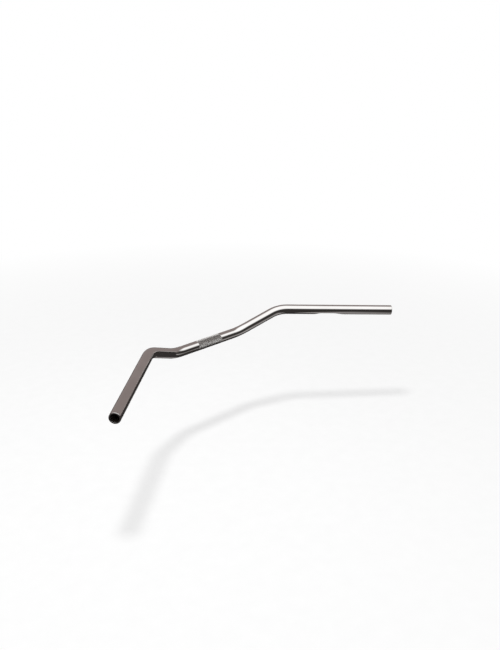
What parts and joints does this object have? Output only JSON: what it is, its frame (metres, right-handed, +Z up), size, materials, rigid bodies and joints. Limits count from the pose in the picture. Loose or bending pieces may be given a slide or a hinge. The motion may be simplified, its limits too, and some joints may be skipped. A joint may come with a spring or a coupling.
{
  "type": "drag bar",
  "caption": "Bent tubular motorcycle handlebar, low rise and swept back, with a knurled clamp seat, open grip ends and pressed wiring dimples.",
  "frame": {"origin": "middle of the clamp seat, on the tube's axis", "axes": "+X to the rider's right along the clamp seat, +Y forward, +Z up, with the bar rolled as it is mounted"},
  "size_m": [0.924, 0.2598, 0.071],
  "materials": {
    "chrome_tube": "polished chrome plate on steel tube"
  },
  "bodies": {
    "root": {"drag_bar": "chrome_tube"}
  },
  "joints": []
}
